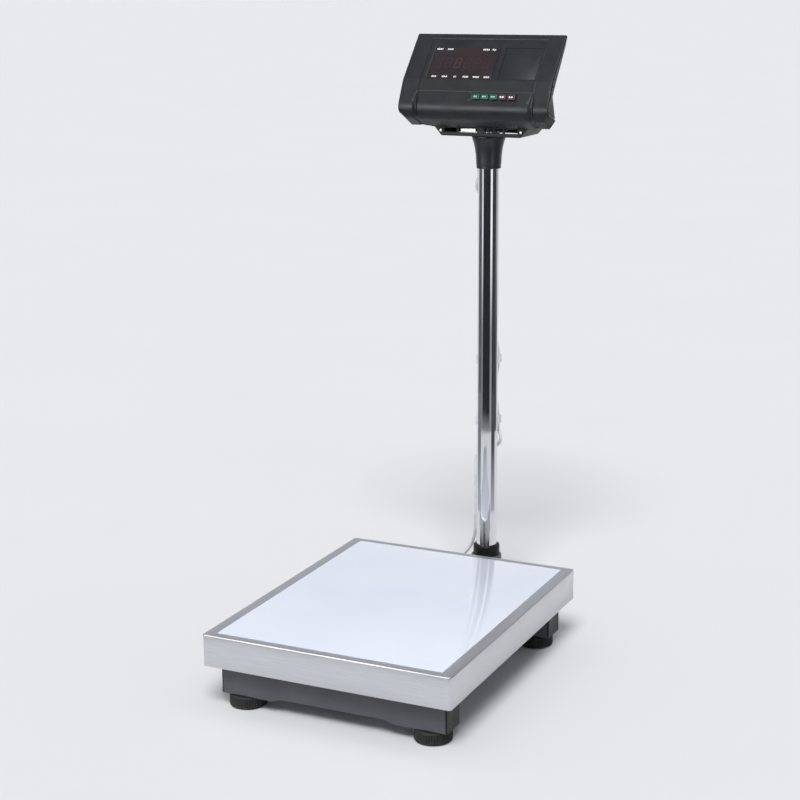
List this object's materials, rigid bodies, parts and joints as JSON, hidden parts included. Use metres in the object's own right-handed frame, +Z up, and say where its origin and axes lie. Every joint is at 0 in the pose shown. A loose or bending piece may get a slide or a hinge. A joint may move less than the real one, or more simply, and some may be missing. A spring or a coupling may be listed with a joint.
{
  "type": "platform shipping scale",
  "caption": "Free-standing platform scale: a lift-off weighing pan on an H-shaped base with levelling feet, and a rear pole that carries a tilting, swivelling indicator.",
  "frame": {"origin": "centre of the object's footprint box, on the floor", "axes": "+Z up, +X to the right and +Y to the back, where the pole is"},
  "size_m": [0.4, 0.6604, 0.966],
  "materials": {
    "slate_paint": "semi-gloss slate-grey paint",
    "zinc": "zinc plated",
    "aluminium": "anodised",
    "pan_steel": "fine brushed stainless",
    "white_gloss": "glossy white laminate",
    "chrome": "mirror chrome",
    "black_plastic": "moulded black plastic",
    "charcoal_plastic": "fine-textured charcoal plastic",
    "smoked_red": "dark red display filter",
    "label_film": "satin dark film",
    "key_plastic": "moulded key caps",
    "circuit_board": "green solder resist",
    "black_rubber": "matt black rubber",
    "cable_grey": "light grey cable sheath and clips"
  },
  "bodies": {
    "root": {"front_cross_tube": "slate_paint", "rear_cross_tube": "slate_paint", "centre_beam": "slate_paint", "lower_spacer": "zinc", "load_cell": "aluminium", "upper_spacer": "zinc", "top_frame": "slate_paint", "pole_arm": "slate_paint", "pole_collar": "black_plastic", "pole_tube": "chrome", "pole_clamp_bolt": "zinc", "cable_gland": "black_plastic", "load_cell_cable": "cable_grey", "cable_clip_1": "cable_grey", "cable_clip_2": "cable_grey", "cable_grommet": "cable_grey", "pan_pad_front_left": "black_rubber", "pan_pad_front_right": "black_rubber", "pan_pad_rear_left": "black_rubber", "pan_pad_rear_right": "black_rubber", "overload_stop_front_left": "zinc", "overload_stop_front_right": "zinc", "overload_stop_rear_left": "zinc", "overload_stop_rear_right": "zinc", "foot_nut_front_left": "zinc", "foot_nut_front_right": "zinc", "foot_nut_rear_left": "zinc", "foot_nut_rear_right": "zinc"},
    "pan": {"weighing_pan": "pan_steel", "pan_top_sheet": "white_gloss"},
    "neck": {"neck_socket": "black_plastic"},
    "neck_knob": {"neck_knob": "black_plastic"},
    "indicator": {"front_shell": "charcoal_plastic", "rear_shell": "charcoal_plastic", "display_window": "smoked_red", "label_panel": "label_film", "display_board": "circuit_board", "key_board": "circuit_board", "main_board": "circuit_board", "battery": "black_plastic", "transformer": "zinc", "battery_door": "charcoal_plastic", "mains_inlet": "black_plastic", "tilt_bracket": "zinc", "tilt_bolt": "zinc", "cable_tail": "cable_grey"},
    "tilt_knob": {"tilt_knob": "black_plastic"},
    "key_1": {"key_1": "key_plastic"},
    "key_2": {"key_2": "key_plastic"},
    "key_3": {"key_3": "key_plastic"},
    "key_4": {"key_4": "key_plastic"},
    "key_5": {"key_5": "key_plastic"},
    "sole_front_left": {"sole_front_left": "black_rubber"},
    "foot_front_left": {"foot_front_left": "black_rubber"},
    "sole_front_right": {"sole_front_right": "black_rubber"},
    "foot_front_right": {"foot_front_right": "black_rubber"},
    "sole_rear_left": {"sole_rear_left": "black_rubber"},
    "foot_rear_left": {"foot_rear_left": "black_rubber"},
    "sole_rear_right": {"sole_rear_right": "black_rubber"},
    "foot_rear_right": {"foot_rear_right": "black_rubber"}
  },
  "joints": [
    {"name": "pan_lift", "type": "slide", "parent": "root", "child": "pan", "axis": [0, 0, 1], "range_m": [0, 0.15]},
    {"name": "foot_travel_front_left", "type": "slide", "parent": "root", "child": "sole_front_left", "axis": [0, 0, 1], "range_m": [-0.0071, 0]},
    {"name": "foot_turn_front_left", "type": "hinge", "parent": "sole_front_left", "child": "foot_front_left", "pos_m": [-0.152, -0.28225, 0], "axis": [0, 0, 1], "range_deg": [-1440, 0]},
    {"name": "foot_travel_front_right", "type": "slide", "parent": "root", "child": "sole_front_right", "axis": [0, 0, 1], "range_m": [-0.0071, 0]},
    {"name": "foot_turn_front_right", "type": "hinge", "parent": "sole_front_right", "child": "foot_front_right", "pos_m": [0.152, -0.28225, 0], "axis": [0, 0, 1], "range_deg": [-1440, 0]},
    {"name": "foot_travel_rear_left", "type": "slide", "parent": "root", "child": "sole_rear_left", "axis": [0, 0, 1], "range_m": [-0.0071, 0]},
    {"name": "foot_turn_rear_left", "type": "hinge", "parent": "sole_rear_left", "child": "foot_rear_left", "pos_m": [-0.152, 0.12175, 0], "axis": [0, 0, 1], "range_deg": [-1440, 0]},
    {"name": "foot_travel_rear_right", "type": "slide", "parent": "root", "child": "sole_rear_right", "axis": [0, 0, 1], "range_m": [-0.0071, 0]},
    {"name": "foot_turn_rear_right", "type": "hinge", "parent": "sole_rear_right", "child": "foot_rear_right", "pos_m": [0.152, 0.12175, 0], "axis": [0, 0, 1], "range_deg": [-1440, 0]},
    {"name": "indicator_swivel", "type": "hinge", "parent": "root", "child": "neck", "pos_m": [0, 0.27825, 0.75], "axis": [0, 0, 1], "range_deg": [-90, 90]},
    {"name": "neck_knob_turn", "type": "hinge", "parent": "neck", "child": "neck_knob", "pos_m": [0, 0.30175, 0.765], "axis": [0, 1, 0], "range_deg": [0, 180]},
    {"name": "indicator_tilt", "type": "hinge", "parent": "neck", "child": "indicator", "pos_m": [0, 0.27825, 0.82], "axis": [1, 0, 0], "range_deg": [-20, 20]},
    {"name": "tilt_knob_turn", "type": "hinge", "parent": "indicator", "child": "tilt_knob", "pos_m": [0.0181, 0.27825, 0.82], "axis": [1, 0, 0], "range_deg": [0, 180]},
    {"name": "key_press_1", "type": "slide", "parent": "indicator", "child": "key_1", "axis": [0, 0.8894, -0.4571], "range_m": [0, 0.001], "stiffness_N_per_m": 1200, "springref_m": -0.0004},
    {"name": "key_press_2", "type": "slide", "parent": "indicator", "child": "key_2", "axis": [0, 0.8894, -0.4571], "range_m": [0, 0.001], "stiffness_N_per_m": 1200, "springref_m": -0.0004},
    {"name": "key_press_3", "type": "slide", "parent": "indicator", "child": "key_3", "axis": [0, 0.8894, -0.4571], "range_m": [0, 0.001], "stiffness_N_per_m": 1200, "springref_m": -0.0004},
    {"name": "key_press_4", "type": "slide", "parent": "indicator", "child": "key_4", "axis": [0, 0.8894, -0.4571], "range_m": [0, 0.001], "stiffness_N_per_m": 1200, "springref_m": -0.0004},
    {"name": "key_press_5", "type": "slide", "parent": "indicator", "child": "key_5", "axis": [0, 0.8894, -0.4571], "range_m": [0, 0.001], "stiffness_N_per_m": 1200, "springref_m": -0.0004}
  ],
  "couplings": [
    {"joint": "foot_travel_front_left", "follows": "foot_turn_front_left", "m_per_rad": 0.00027852},
    {"joint": "foot_travel_front_right", "follows": "foot_turn_front_right", "m_per_rad": 0.00027852},
    {"joint": "foot_travel_rear_left", "follows": "foot_turn_rear_left", "m_per_rad": 0.00027852},
    {"joint": "foot_travel_rear_right", "follows": "foot_turn_rear_right", "m_per_rad": 0.00027852}
  ]
}
